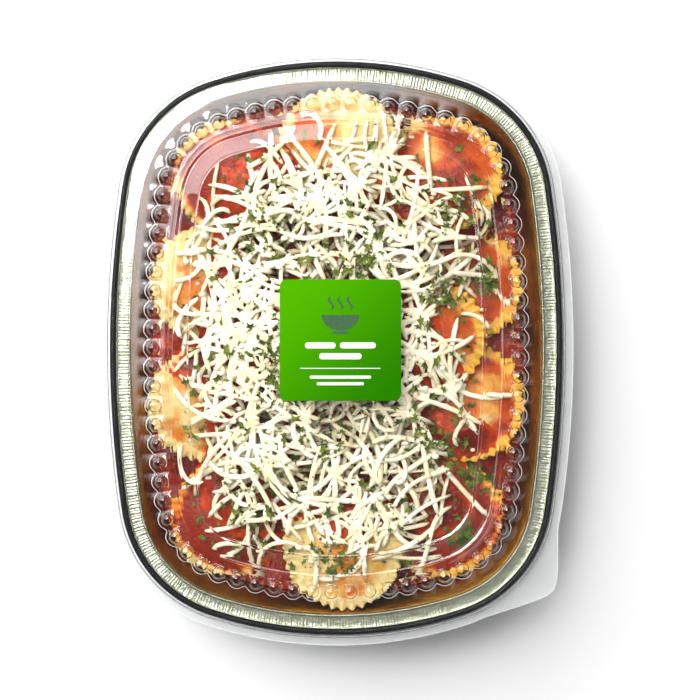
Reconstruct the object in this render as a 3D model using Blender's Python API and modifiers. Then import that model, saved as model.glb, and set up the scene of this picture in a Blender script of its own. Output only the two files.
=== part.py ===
"""Ravioli bake in a foil tray with a clear press-fit lid.

The origin is on the table under the middle of the tray's flat base. X runs across the tray, Y along it and Z up.
Tray, lid and contents all follow one outline: four shallow arcs joined by four corner arcs. An offset is measured
outwards from that outline, which is the outer edge of the rolled rim.
"""

import math
import random

import bmesh
import bpy
from mathutils import Matrix, Vector, noise
from mathutils.bvhtree import BVHTree

MM = 0.001
GAP = 0.35 * MM  # clearance between pieces that touch in the real pack

# Outline of the rolled rim, seen from above
RIM_HALF_WIDTH = 97.5 * MM
RIM_HALF_LENGTH = 123.5 * MM
SIDE_ARC_RADIUS = 476 * MM
END_ARC_RADIUS = 178 * MM
CORNER_RADIUS = 55.5 * MM

# Foil tray
TRAY_HEIGHT = 46 * MM
FOIL = 0.5 * MM
BASE_OFFSET = -33 * MM
WALL_FOOT = (-30.5 * MM, 3.5 * MM)  # offset and height of the inner wall's foot
WALL_HEAD = (-9.9 * MM, 40.6 * MM)
LEDGE_OFFSET = -9.0 * MM
FLANGE_OFFSET = -8.4 * MM
FLANGE_HEIGHT = TRAY_HEIGHT - 1.3 * MM
ROLL_RADIUS = 1.35 * MM
ROLL_START = 160  # degrees, where the flange meets the roll, anticlockwise from outwards
ROLL_END = -110
ROLL_STEPS = 5
TRAY_STATIONS = 42

# Clear lid
LID_THICKNESS = 0.5 * MM
LAND_HEIGHT = TRAY_HEIGHT + GAP + LID_THICKNESS  # top of the flat ring over the tray's flange
DOME_PROFILE = (  # offset, and height above the flat ring, from the top panel's edge to the dome's foot
    (-35.0 * MM, 15.0 * MM),
    (-27.2 * MM, 10.8 * MM),
    (-21.1 * MM, 9.6 * MM),
    (-13.7 * MM, 8.4 * MM),
    (-12.3 * MM, 2.2 * MM),
    (-10.8 * MM, 0.0 * MM),
)
BEAD_BAND = 2  # the beads stand on the profile's stretch that starts at this point
SKIRT_OFFSET = 1.2 * MM
LIP_OFFSET = 4.9 * MM
LIP_DROP = 5.2 * MM
BEAD_COUNT = 77
BEAD_RADIUS = 3.5 * MM
BEAD_SIDES = 8
BEAD_RINGS = ((1, 0), (0.68, 0.72))  # distance from a bead's middle and height of its rings, in bead radii

# Pull tab at the lip's corner towards +X and -Y: two straight edges and a round corner
TAB_SIDE_X = 95.8 * MM
TAB_END_POINT = (91.5 * MM, -107.5 * MM)
TAB_END_TURN = math.radians(18)
TAB_ROUNDING = 5 * MM

# Square label on the top panel
LABEL_SIZE = 51.5 * MM
LABEL_CORNER = 3 * MM
LABEL_THICKNESS = 0.3 * MM
LABEL_CENTRE = (1.8 * MM, 3.4 * MM)

# Ravioli, seen flat: a stuffed middle and a crimped border
RAVIOLI_RADIUS = 26.5 * MM
RAVIOLI_SIDES = 14
RAVIOLI_TOP = 5.8 * MM
RAVIOLI_UNDERSIDE = 2.6 * MM
CRIMP_THICKNESS = 2.4 * MM
SAUCE_LEVEL = 27.5 * MM
SAUCE_HEAP = 3 * MM  # how much higher the sauce stands in the middle
SEAT_STEP = 0.25 * MM  # a ravioli is raised by this much at a time until it is clear

# One row for each ravioli: x, y, height of its seat, lean in degrees, and the compass angle that it leans down towards
RAVIOLI_PLACES = (
    (46, -73, 29, 3, 250),
    (55, -23, 29, 8, 85),
    (54, 28, 29, 8, 95),
    (45, 75, 29, 8, 110),
    (1, 33, 29, 3, 90),
    (-1, -33, 29, 3, 270),
    (1, 86, 29, 8, 175),
    (-44, 73, 29, 8, 215),
    (-54, 27, 29, 8, 265),
    (-55, -24, 29, 8, 275),
    (-45, -73, 29, 8, 300),
    (3, -86, 31, 4, 270),
    (38, 5, 33, 7, 20),
    (-27, 1, 33, 5, 200),
)

# Shredded cheese heaped on the middle
HEAP_HALF_WIDTH = 60 * MM
HEAP_HALF_LENGTH = 88 * MM
HEAP_CENTRE = (-3 * MM, 2 * MM)
HEAP_EDGE_THICKNESS = 1.2 * MM
HEAP_THICKNESS = 2.2 * MM  # the least, over the ravioli
HEAP_TOP = 51.5 * MM
HEAP_FALL = 10 * MM  # how much lower the heap's surface is at its border
LIFT_STEP = 0.3 * MM  # the heap's underside is raised by this much at a time until it is clear
HEAP_SIDES = 18
HEAP_SHARES = (0.3, 0.6, 0.85, 1)
ON_BORDER = 0.99
HEAP_SEED = 4
SHRED_COUNT = 72
SHRED_WIDTH = 2.3 * MM
SHRED_HEIGHT = 1.8 * MM
SHRED_LENGTHS = (16 * MM, 36 * MM)
SHRED_BEND = 0.7  # the most that a curved shred's heading turns, in radians
SHRED_LIFTS = (-0.4 * MM, 0.6 * MM)  # how far above or below the heap's surface a shred's underside lies
FLAKE_COUNT = 20
FLAKE_RADII = (1.8 * MM, 3.2 * MM)
FLAKE_HEIGHT = 1.4 * MM
FLAKE_LIFT = 0.35 * MM

GOLDEN_ANGLE = math.radians(137.508)


def clear_scene():
    for obj in list(bpy.data.objects):
        bpy.data.objects.remove(obj, do_unlink=True)


def new_collection(name):
    collection = bpy.data.collections.new(name)
    bpy.context.scene.collection.children.link(collection)
    return collection


def new_material(name, colour, roughness, metallic=0.0, alpha=1.0):
    material = bpy.data.materials.new(name)
    material.use_nodes = True
    shader = material.node_tree.nodes["Principled BSDF"]
    shader.inputs["Base Color"].default_value = (*colour, 1)
    shader.inputs["Roughness"].default_value = roughness
    shader.inputs["Metallic"].default_value = metallic
    shader.inputs["Alpha"].default_value = alpha
    return material


# Outline


def corner_centre():
    """Centre of the first quadrant's corner arc, which touches the side arc and the end arc from inside."""
    side = Vector((RIM_HALF_WIDTH - SIDE_ARC_RADIUS, 0))
    end = Vector((0, RIM_HALF_LENGTH - END_ARC_RADIUS))
    to_side = SIDE_ARC_RADIUS - CORNER_RADIUS
    to_end = END_ARC_RADIUS - CORNER_RADIUS
    between = end - side
    along = (to_side**2 - to_end**2 + between.length_squared) / (2 * between.length)
    across = math.sqrt(to_side**2 - along**2)
    unit = between.normalized()
    return side + unit * along + Vector((-unit.y, unit.x)) * across, side, end


CORNER, SIDE_CENTRE, END_CENTRE = corner_centre()
SIDE_TURN = math.atan2(CORNER.y - SIDE_CENTRE.y, CORNER.x - SIDE_CENTRE.x)
CORNER_TURN = math.atan2(CORNER.y - END_CENTRE.y, CORNER.x - END_CENTRE.x)


def quarter_length(offset):
    return (
        (SIDE_ARC_RADIUS + offset) * SIDE_TURN
        + (CORNER_RADIUS + offset) * (CORNER_TURN - SIDE_TURN)
        + (END_ARC_RADIUS + offset) * (math.pi / 2 - CORNER_TURN)
    )


def quarter_station(distance, offset):
    """The rim point and outward normal at this distance along the first quadrant of the offset outline."""
    arcs = (
        (SIDE_CENTRE, SIDE_ARC_RADIUS, 0, SIDE_TURN),
        (CORNER, CORNER_RADIUS, SIDE_TURN, CORNER_TURN),
        (END_CENTRE, END_ARC_RADIUS, CORNER_TURN, math.pi / 2),
    )
    for centre, radius, start, stop in arcs:
        length = (radius + offset) * (stop - start)
        if distance <= length or stop == math.pi / 2:
            turn = start + distance / (radius + offset)
            normal = Vector((math.cos(turn), math.sin(turn)))
            return centre + normal * radius, normal
        distance -= length


def stations(count, offset):
    """(rim point, outward normal) at equal steps along the offset outline, anticlockwise from +X."""
    found = []
    for step in range(count):
        quadrant, part = divmod(4 * step / count, 1)
        mirrored = quadrant % 2 == 1
        distance = (1 - part if mirrored else part) * quarter_length(offset)
        point, normal = quarter_station(distance, offset)
        flip = Vector((-1 if quadrant in (1, 2) else 1, -1 if quadrant in (2, 3) else 1))
        found.append((point * flip, normal * flip))
    return found


def ring(places, offset, height):
    return [Vector((*(point + normal * offset), height)) for point, normal in places]


# Meshes


def skin(rings, close_ends=True):
    """A mesh through rings of equal counts, each anticlockwise seen from its outer side. A lone point closes an end."""
    mesh = bmesh.new()
    rows = [[mesh.verts.new(point) for point in points] for points in rings]
    for inner, outer in zip(rows, rows[1:]):
        count = max(len(inner), len(outer))
        for k in range(count):
            following = (k + 1) % count
            if len(inner) == 1:
                mesh.faces.new((inner[0], outer[k], outer[following]))
            elif len(outer) == 1:
                mesh.faces.new((inner[k], outer[0], inner[following]))
            else:
                mesh.faces.new((inner[k], outer[k], outer[following], inner[following]))
    if len(rows[0]) > 1:
        mesh.faces.new(rows[0])
    if close_ends and len(rows[-1]) > 1:
        mesh.faces.new(reversed(rows[-1]))
    return mesh


def mesh_object(name, mesh, material, collection, smooth_angle=math.radians(40)):
    data = bpy.data.meshes.new(name)
    mesh.to_mesh(data)
    mesh.free()
    data.shade_smooth()
    data.set_sharp_from_angle(angle=smooth_angle)
    obj = bpy.data.objects.new(name, data)
    obj.data.materials.append(material)
    collection.objects.link(obj)
    return obj


def add_solidify(obj, thickness):
    solidify = obj.modifiers.new("thickness", "SOLIDIFY")
    solidify.thickness = thickness
    solidify.offset = -1
    solidify.use_even_offset = True


def apply_modifiers(obj):
    """Replaces the object's mesh by what its modifiers make of it."""
    graph = bpy.context.evaluated_depsgraph_get()
    made = bpy.data.meshes.new_from_object(obj.evaluated_get(graph))
    obj.modifiers.clear()
    obj.data = made


def combine(obj, operation, others):
    """One Boolean of obj with every object in the others collection, applied, after which those are removed."""
    boolean = obj.modifiers.new(operation.lower(), "BOOLEAN")
    boolean.operation = operation
    boolean.operand_type = "COLLECTION"
    boolean.collection = others
    apply_modifiers(obj)
    for other in list(others.objects):
        bpy.data.objects.remove(other, do_unlink=True)
    bpy.data.collections.remove(others)


def keep_largest_body(obj):
    """Deletes loose scraps and the walls of sealed hollows, which then are solid."""
    mesh = bmesh.new()
    mesh.from_mesh(obj.data)
    bmesh.ops.triangulate(mesh, faces=mesh.faces)
    left = set(mesh.faces)
    bodies = []
    while left:
        body = [left.pop()]
        for face in body:
            shared = [edge for edge in face.edges if len(edge.link_faces) == 2]
            for neighbour in (other for edge in shared for other in edge.link_faces):
                if neighbour in left:
                    left.remove(neighbour)
                    body.append(neighbour)
        bodies.append(body)
    bodies.sort(key=len)
    scraps = [face for body in bodies[:-1] for face in body]
    bmesh.ops.delete(mesh, geom=scraps, context="FACES")
    mesh.to_mesh(obj.data)
    mesh.free()


def cutter_collection(name):
    collection = new_collection(name)
    collection.hide_render = True
    return collection


def grown(mesh, by):
    """A copy of the bmesh with every point moved out along its normal."""
    copy = mesh.copy()
    copy.normal_update()
    for vertex in copy.verts:
        vertex.co += vertex.normal * by
    return copy


def tree_of(obj):
    mesh = bmesh.new()
    graph = bpy.context.evaluated_depsgraph_get()
    mesh.from_object(obj, graph)
    mesh.transform(obj.matrix_world)
    tree = BVHTree.FromBMesh(mesh)
    mesh.free()
    return tree


# Tray


def inner_wall_offset(height):
    """Offset of the tray's inner wall at this height."""
    (foot, low), (head, high) = WALL_FOOT, WALL_HEAD
    return foot + (head - foot) * (height - low) / (high - low)


def tray_profile():
    """The inner surface, from the floor outwards: wall, ledge, flange and the roll round its edge."""
    profile = [
        (BASE_OFFSET - 2 * MM, FOIL),
        (BASE_OFFSET, FOIL + 0.5 * MM),
        WALL_FOOT,
        WALL_HEAD,
        (LEDGE_OFFSET, WALL_HEAD[1] + 0.3 * MM),
        (FLANGE_OFFSET, FLANGE_HEIGHT),
    ]
    for step in range(ROLL_STEPS + 1):
        turn = math.radians(ROLL_START + (ROLL_END - ROLL_START) * step / ROLL_STEPS)
        across = -ROLL_RADIUS + ROLL_RADIUS * math.cos(turn)
        profile.append((across, TRAY_HEIGHT - ROLL_RADIUS + ROLL_RADIUS * math.sin(turn)))
    return profile


def make_tray(collection, material):
    places = stations(TRAY_STATIONS, 0)
    mesh = skin([ring(places, *step) for step in tray_profile()], close_ends=False)
    tray = mesh_object("tray", mesh, material, collection)
    add_solidify(tray, FOIL)
    return tray


# Lid


def lip_reach(point, normal):
    """How far the lip stands out of the rim here: evenly, apart from the pull tab's corner."""
    if point.x < 0 or point.y > 0 or math.atan2(normal.x, -normal.y) < TAB_END_TURN:
        return LIP_OFFSET
    to_side = (TAB_SIDE_X - point.x) / max(normal.x, 1e-6)
    edge_normal = Vector((math.sin(TAB_END_TURN), -math.cos(TAB_END_TURN)))
    to_end = (Vector(TAB_END_POINT) - point).dot(edge_normal) / max(normal.dot(edge_normal), 1e-6)
    near, far = sorted((to_side, to_end))
    rounded = near - TAB_ROUNDING / 2 * math.exp(-(far - near) / TAB_ROUNDING)
    return max(LIP_OFFSET, rounded)


def raise_bead(mesh, face):
    """Replaces a four-sided face by a round bead and the flat corners round its foot."""
    corners = list(face.verts)
    centre = face.calc_center_median()
    along = (corners[0].co - centre).normalized()
    across = face.normal.cross(along)
    rings = []
    for share, lift in BEAD_RINGS:
        points = []
        for k in range(BEAD_SIDES):
            turn = 2 * math.pi * k / BEAD_SIDES
            spoke = along * math.cos(turn) + across * math.sin(turn)
            at = centre + (spoke * share + face.normal * lift) * BEAD_RADIUS
            points.append(mesh.verts.new(at))
        rings.append(points)
    foot, crown = rings
    mesh.faces.remove(face)
    mesh.faces.new(crown)
    for k in range(BEAD_SIDES):
        following = (k + 1) % BEAD_SIDES
        mesh.faces.new((foot[k], foot[following], crown[following], crown[k]))
    for k in range(4):
        corner, next_corner = corners[k], corners[(k + 1) % 4]
        nearest, between, next_nearest = foot[2 * k], foot[2 * k + 1], foot[(2 * k + 2) % BEAD_SIDES]
        mesh.faces.new((nearest, corner, between))
        mesh.faces.new((corner, next_corner, between))
        mesh.faces.new((between, next_corner, next_nearest))


def make_lid(collection, material):
    band_middle = (DOME_PROFILE[BEAD_BAND][0] + DOME_PROFILE[BEAD_BAND + 1][0]) / 2
    places = stations(BEAD_COUNT, band_middle)
    steps = [(offset, LAND_HEIGHT + height) for offset, height in DOME_PROFILE]
    steps.append((SKIRT_OFFSET - 0.4 * MM, LAND_HEIGHT))
    steps.append((SKIRT_OFFSET, LAND_HEIGHT - LIP_DROP))
    rings = [ring(places, *step) for step in steps]
    lip = [
        Vector((*(point + normal * lip_reach(point, normal)), LAND_HEIGHT - LIP_DROP))
        for point, normal in places
    ]
    lid = mesh_object("lid", skin([*rings, lip], close_ends=False), material, collection)
    add_solidify(lid, LID_THICKNESS)
    apply_modifiers(lid)
    mesh = bmesh.new()
    mesh.from_mesh(lid.data)
    low, high = sorted(LAND_HEIGHT + DOME_PROFILE[BEAD_BAND + k][1] for k in (0, 1))
    middle = (low + high) / 2
    band = [
        face
        for face in mesh.faces
        if face.normal.z > 0.9 and abs(face.calc_center_median().z - middle) < LID_THICKNESS / 2
    ]
    for face in band:
        raise_bead(mesh, face)
    mesh.to_mesh(lid.data)
    mesh.free()
    return lid


def make_label(collection, material):
    """A thin square with round corners, lying on the lid's panel."""
    curve = bpy.data.curves.new("label", "CURVE")
    curve.dimensions = "2D"
    curve.fill_mode = "BOTH"
    curve.extrude = LABEL_THICKNESS / 2
    spline = curve.splines.new("POLY")
    reach = LABEL_SIZE / 2 - LABEL_CORNER
    corner_steps = 4
    points = []
    for corner in range(4):
        for step in range(corner_steps + 1):
            turn = math.radians(90 * corner + 90 * step / corner_steps)
            middle = math.radians(90 * corner + 45)
            x = math.copysign(reach, math.cos(middle)) + LABEL_CORNER * math.cos(turn)
            y = math.copysign(reach, math.sin(middle)) + LABEL_CORNER * math.sin(turn)
            points.append((x, y))
    spline.points.add(len(points) - 1)
    for spot, (x, y) in zip(spline.points, points):
        spot.co = (x, y, 0, 1)
    spline.use_cyclic_u = True
    curve.materials.append(material)
    label = bpy.data.objects.new("label", curve)
    above_panel = LAND_HEIGHT + DOME_PROFILE[0][1] + GAP + LABEL_THICKNESS / 2
    label.location = (*LABEL_CENTRE, above_panel)
    collection.objects.link(label)
    return label


# Ravioli


def ravioli_mesh(seed):
    """A round ravioli lying flat, domed on both sides inside a thin crimped border that is a little out of round."""
    draw = random.Random(seed)
    oval = 0.03 * draw.random()
    lobe = 0.02 * draw.random()
    starts = [draw.uniform(0, 2 * math.pi) for _ in range(3)]
    half = CRIMP_THICKNESS / 2
    steps = (
        (0.42, 0.86 * RAVIOLI_TOP),
        (0.66, 0.42 * RAVIOLI_TOP),
        (0.77, half),
        (1.0, half),
        (1.0, -half),
        (0.75, -half),
        (0.5, -RAVIOLI_UNDERSIDE),
    )
    rings = [[Vector((0, 0, RAVIOLI_TOP))]]
    for share, height in steps:
        points = []
        for k in range(RAVIOLI_SIDES):
            turn = 2 * math.pi * k / RAVIOLI_SIDES
            uneven = 1 + oval * math.cos(2 * turn + starts[0]) + lobe * math.cos(3 * turn + starts[1])
            wave = 0.5 * MM * share**3 * math.cos(3 * turn + starts[2])
            radius = RAVIOLI_RADIUS * share * uneven
            points.append(Vector((radius * math.cos(turn), radius * math.sin(turn), height + wave)))
        rings.append(points)
    return skin(rings)


def lean_matrix(lean, towards):
    """Tips a flat piece down by lean degrees towards the compass angle, anticlockwise from +X."""
    facing = Matrix.Rotation(math.radians(towards), 4, "Z")
    return facing @ Matrix.Rotation(math.radians(lean), 4, "Y") @ facing.inverted()


def make_ravioli(collection, material, tray):
    """Each ravioli starts at its seat and is raised until it is clear of the tray and of those already placed.

    Returns the ravioli, and a search tree of each one grown by the clearance.
    """
    placed = []
    blocked = [tree_of(tray)]
    for number, (x, y, seat, lean, towards) in enumerate(RAVIOLI_PLACES, 1):
        mesh = ravioli_mesh(number)
        larger = grown(mesh, GAP)
        height = seat * MM
        turned = lean_matrix(lean, towards)
        while True:
            at = Matrix.Translation((x * MM, y * MM, height)) @ turned
            probe = larger.copy()
            probe.transform(at)
            tree = BVHTree.FromBMesh(probe)
            probe.free()
            if not any(tree.overlap(other) for other in blocked):
                break
            height += SEAT_STEP
        larger.free()
        obj = mesh_object(f"ravioli_{number:02d}", mesh, material, collection, math.radians(60))
        obj.matrix_world = at
        placed.append(obj)
        blocked.append(tree)
    return placed, blocked[1:]


# Sauce


def sauce_height(x, y):
    """Height of the sauce's surface: lowest at the wall, heaped and uneven in the middle."""
    across = min(1, (x / RIM_HALF_WIDTH) ** 2 + (y / RIM_HALF_LENGTH) ** 2)
    ripple = 0.8 * MM * noise.noise(Vector((x, y, 0)) / (22 * MM))
    return SAUCE_LEVEL + SAUCE_HEAP * (1 - across) ** 0.8 + ripple


def make_sauce(collection, material, ravioli):
    """The sauce fills the tray up to its level and is cut round the ravioli that lie in it."""
    places = stations(TRAY_STATIONS, 0)
    low = FOIL + GAP
    rings = [ring(places, BASE_OFFSET - 2 * MM, low)[::-1]]
    foot_height = WALL_FOOT[1] + GAP
    rings.append(ring(places, inner_wall_offset(foot_height) - 2 * GAP, foot_height)[::-1])
    edge = ring(places, inner_wall_offset(SAUCE_LEVEL) - 2 * GAP, SAUCE_LEVEL)[::-1]
    for share in (1, 0.84, 0.6, 0.3):
        points = [Vector((p.x * share, p.y * share, 0)) for p in edge]
        for point in points:
            point.z = SAUCE_LEVEL if share == 1 else sauce_height(point.x, point.y)
        rings.append(points)
    rings.append([Vector((0, 0, sauce_height(0, 0)))])
    sauce = mesh_object("sauce", skin(rings), material, collection, math.radians(60))
    pockets = cutter_collection("pockets")
    for obj in ravioli:
        mesh = bmesh.new()
        mesh.from_mesh(obj.data)
        mesh.transform(obj.matrix_world)
        larger = grown(mesh, GAP)
        mesh.free()
        mesh_object("pocket_" + obj.name, larger, None, pockets)
    combine(sauce, "DIFFERENCE", pockets)
    return sauce


# Cheese


def highest_point(trees, x, y):
    tops = [tree.ray_cast(Vector((x, y, 2 * TRAY_HEIGHT)), Vector((0, 0, -1)))[0] for tree in trees]
    return max((top.z for top in tops if top is not None), default=SAUCE_LEVEL)


def heap_edge(turn):
    """Distance of the heap's uneven border from its centre, in the direction of turn."""
    across = abs(math.cos(turn) / HEAP_HALF_WIDTH)
    along = abs(math.sin(turn) / HEAP_HALF_LENGTH)
    rounded = (across**2.6 + along**2.6) ** (-1 / 2.6)
    return rounded * (1 + 0.06 * math.sin(5 * turn + 1) + 0.04 * math.sin(9 * turn))


def heap_place(turn, share):
    distance = heap_edge(turn) * share
    return HEAP_CENTRE[0] + distance * math.cos(turn), HEAP_CENTRE[1] + distance * math.sin(turn)


def lift_clear(sheet, blocked):
    """Raises the faces of a sheet that cross any of the blocked trees, until none does."""
    while True:
        sheet.faces.ensure_lookup_table()
        tree = BVHTree.FromBMesh(sheet)
        crossing = {pair[0] for other in blocked for pair in tree.overlap(other)}
        if not crossing:
            return
        for vertex in {min(sheet.faces[index].verts, key=lambda v: v.co.z) for index in crossing}:
            vertex.co.z += LIFT_STEP


def make_core(collection, material, blocked):
    """A blanket over the ravioli and sauce, domed on top, which the shreds are fused to."""
    rings = [[Vector((*HEAP_CENTRE, highest_point(blocked, *HEAP_CENTRE)))]]
    for share in HEAP_SHARES:
        points = []
        for k in range(HEAP_SIDES):
            x, y = heap_place(2 * math.pi * k / HEAP_SIDES, share)
            points.append(Vector((x, y, highest_point(blocked, x, y) + GAP)))
        rings.append(points)
    mesh = skin(rings, close_ends=False)
    bmesh.ops.triangulate(mesh, faces=mesh.faces)
    lift_clear(mesh, blocked)
    made = bmesh.ops.extrude_face_region(mesh, geom=list(mesh.faces))
    for vertex in (item for item in made["geom"] if isinstance(item, bmesh.types.BMVert)):
        offset = Vector((vertex.co.x - HEAP_CENTRE[0], vertex.co.y - HEAP_CENTRE[1]))
        share = offset.length / heap_edge(math.atan2(offset.y, offset.x))
        if share > ON_BORDER:
            vertex.co.z += HEAP_EDGE_THICKNESS
        else:
            vertex.co.z = max(vertex.co.z + HEAP_THICKNESS, HEAP_TOP - HEAP_FALL * share**2)
    bmesh.ops.recalc_face_normals(mesh, faces=mesh.faces)
    return mesh_object("cheese", mesh, material, collection, math.radians(60))


def strip_mesh(path, width, height):
    """A bar of rectangular section along the path, with square ends."""
    rings = []
    for k, point in enumerate(path):
        ahead = path[min(k + 1, len(path) - 1)] - path[max(k - 1, 0)]
        side = Vector((-ahead.y, ahead.x, 0)).normalized() * width / 2
        up = Vector((0, 0, height / 2))
        rings.append([point - side - up, point + side - up, point + side + up, point - side + up])
    return skin(rings)


def flake_mesh(x, y, z, draw):
    radii = [draw.uniform(*FLAKE_RADII) for _ in range(4)]
    rings = []
    for height in (-FLAKE_HEIGHT / 2, FLAKE_HEIGHT / 2):
        points = []
        for k, radius in enumerate(radii):
            turn = -2 * math.pi * k / len(radii)
            points.append(Vector((x + radius * math.cos(turn), y + radius * math.sin(turn), z + height)))
        rings.append(points)
    return skin(rings)


def make_cheese(collection, material, contents, others):
    """The heap: a core with shreds and chopped herbs fused on, each skipped where it would touch another node."""
    cheese = make_core(collection, material, contents)
    core = tree_of(cheese)
    blocked = [*contents, *others]
    group = cutter_collection("on_cheese")
    draw = random.Random(HEAP_SEED)

    def surface(x, y):
        return highest_point([core, *contents], x, y)

    def add(name, mesh):
        tree = BVHTree.FromBMesh(mesh)
        if tree.overlap(core) and not any(tree.overlap(other) for other in blocked):
            mesh_object(name, mesh, None, group)
        else:
            mesh.free()

    for number in range(SHRED_COUNT):
        x, y = heap_place(number * GOLDEN_ANGLE, math.sqrt((number + 0.5) / SHRED_COUNT))
        facing = draw.uniform(0, math.pi)
        bend = draw.choice((0, 0, draw.uniform(-SHRED_BEND, SHRED_BEND)))
        length = draw.uniform(*SHRED_LENGTHS)
        path = []
        for part in (-0.5, 0.5) if bend == 0 else (-0.5, 0, 0.5):
            heading = facing + bend * part
            px = x + length * part * math.cos(heading)
            py = y + length * part * math.sin(heading)
            pz = surface(px, py) + SHRED_HEIGHT / 2 + draw.uniform(*SHRED_LIFTS)
            path.append(Vector((px, py, pz)))
        add(f"shred_{number}", strip_mesh(path, SHRED_WIDTH, SHRED_HEIGHT))

    for number in range(FLAKE_COUNT):
        x, y = heap_place((number + 0.37) * GOLDEN_ANGLE, 0.95 * math.sqrt((number + 0.5) / FLAKE_COUNT))
        add(f"flake_{number}", flake_mesh(x, y, surface(x, y) + FLAKE_LIFT, draw))
    combine(cheese, "UNION", group)
    keep_largest_body(cheese)
    return cheese


def main():
    clear_scene()
    meal = new_collection("foil_tray_ravioli")
    foil = new_material("gold_foil", (0.62, 0.5, 0.28), 0.3, metallic=1.0)
    clear = new_material("clear_plastic", (0.95, 0.96, 0.96), 0.05, alpha=0.3)
    print_green = new_material("label_green", (0.13, 0.45, 0.02), 0.35)
    pasta = new_material("pasta", (0.85, 0.6, 0.22), 0.4)
    tomato = new_material("tomato_sauce", (0.42, 0.06, 0.02), 0.3)
    white_cheese = new_material("white_cheese", (0.9, 0.86, 0.7), 0.5)

    tray = make_tray(meal, foil)
    lid = make_lid(meal, clear)
    make_label(meal, print_green)
    ravioli, grown_ravioli = make_ravioli(meal, pasta, tray)
    sauce = make_sauce(meal, tomato, ravioli)
    make_cheese(meal, white_cheese, [*grown_ravioli, tree_of(sauce)], [tree_of(tray), tree_of(lid)])


main()
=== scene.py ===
"""Looks of the ravioli bake in its foil tray with a clear lid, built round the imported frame.

All lengths are in metres. An offset is measured outwards from the outer edge of the tray's rolled
rim, and the tray, the lid and the food's border all follow that one outline.
"""

import math
import random

import bpy
import numpy as np
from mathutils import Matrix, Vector, noise
from mathutils.bvhtree import BVHTree


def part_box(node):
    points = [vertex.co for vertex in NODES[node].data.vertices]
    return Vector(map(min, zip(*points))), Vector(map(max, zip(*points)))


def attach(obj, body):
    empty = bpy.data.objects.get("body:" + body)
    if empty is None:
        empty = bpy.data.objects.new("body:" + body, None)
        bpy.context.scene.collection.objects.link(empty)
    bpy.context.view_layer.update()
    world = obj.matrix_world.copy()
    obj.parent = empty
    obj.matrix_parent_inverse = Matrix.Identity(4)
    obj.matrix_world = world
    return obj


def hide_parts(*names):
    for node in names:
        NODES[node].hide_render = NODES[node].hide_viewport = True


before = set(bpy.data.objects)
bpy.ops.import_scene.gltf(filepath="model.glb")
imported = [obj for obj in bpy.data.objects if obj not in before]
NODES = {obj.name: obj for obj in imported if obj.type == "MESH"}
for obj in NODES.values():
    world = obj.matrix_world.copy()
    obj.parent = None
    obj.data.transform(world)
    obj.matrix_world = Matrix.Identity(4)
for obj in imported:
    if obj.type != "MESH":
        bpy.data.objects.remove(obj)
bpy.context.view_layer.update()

MM = 0.001

# Outline of the rolled rim, seen from above: four shallow arcs joined by four corner arcs
RIM_HALF_WIDTH = 97.5 * MM
RIM_HALF_LENGTH = 123.5 * MM
SIDE_ARC_RADIUS = 476 * MM
END_ARC_RADIUS = 178 * MM
CORNER_RADIUS = 55.5 * MM

# Tray
TRAY_HEIGHT = 46 * MM
ROLL_RADIUS = 1.35 * MM
CRIMP_COUNT = 560
CRIMP_DEPTH = 0.25 * MM
CRIMP_STEPS = 4
FOIL_THICKNESS = 0.2 * MM
WALL_ROWS = 9  # how many of the gold skin's rows belong to the wall
GOLD_STEPS = (  # offset and height of the gold skin's rows in mm, and their share of the crimps' depth
    (-31.5, 0.55, 0), (-30.9, 1.4, 0), (-30.5, 3.5, 0), (-25.0, 13.4, 0), (-19.0, 24.2, 0),
    (-12.8, 35.4, 0), (-9.9, 40.6, 0.1), (-9.4, 40.9, 0.2), (-9.1, 41.4, 0.3), (-8.95, 43.9, 0.3),
    (-8.8, 44.6, 0.3), (-8.55, 44.95, 0.3), (-8.3, 45.02, 0.4), (-8.0, 44.95, 0.8), (-7.75, 44.75, 1),
    (-7.4, 44.7, 1), (-5.0, 44.7, 1), (-3.5, 44.7, 1), (-3.0, 44.8, 0.5), (-2.8, 45.0, 0),
)
BLACK_STEPS = (  # offset and height of the black skin's rows below the rolled rim, in mm
    (-32.4, 0.0), (-31.2, 0.4), (-30.4, 1.6), (-30.1, 3.25), (-9.5, 40.35), (-8.7, 40.6), (-8.0, 44.1),
    (-3.1, 43.9),
)

# Lid
LAND_HEIGHT = 46.85 * MM  # top of the flat ring over the tray's flange
LID_THICKNESS = 0.5 * MM
PANEL_CROWN = 0.48 * MM  # how far the top panel rises from its edge to the label's underside
LIP_OFFSET = 4.9 * MM
LIP_DROP = 5.2 * MM
BEAD_COUNT = 77
BEAD_RADIUS = 2.85 * MM
BEAD_LINE = -19.3 * MM
BEAD_FOOT = 9.0 * MM  # height of the beads' feet above the flat ring
BEAD_STEPS = 8  # steps along one side of the square round a bead
OUTER_STEPS = (  # offset and height above the flat ring in mm, and share of the scallops, from the beads out
    (-15.3, 8.45, 1), (-15.1, 8.4, 1), (-14.98, 8.27, 1), (-14.92, 8.0, 1), (-14.72, 1.9, 1),
    (-14.62, 1.4, 1), (-14.42, 1.08, 0.95), (-13.8, 0.9, 0.7), (-12.6, 0.7, 0.2), (-11.4, 0.48, 0),
    (-9.9, 0.2, 0), (-9.2, 0.02, 0), (-1.6, 0.0, 0), (-0.4, 0.06, 0), (0.5, 0.0, 0), (0.95, -0.3, 0),
    (1.15, -0.9, 0), (1.2, -4.4, 0), (1.4, -4.95, 0), (2.0, -5.2, 0),
)
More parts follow.
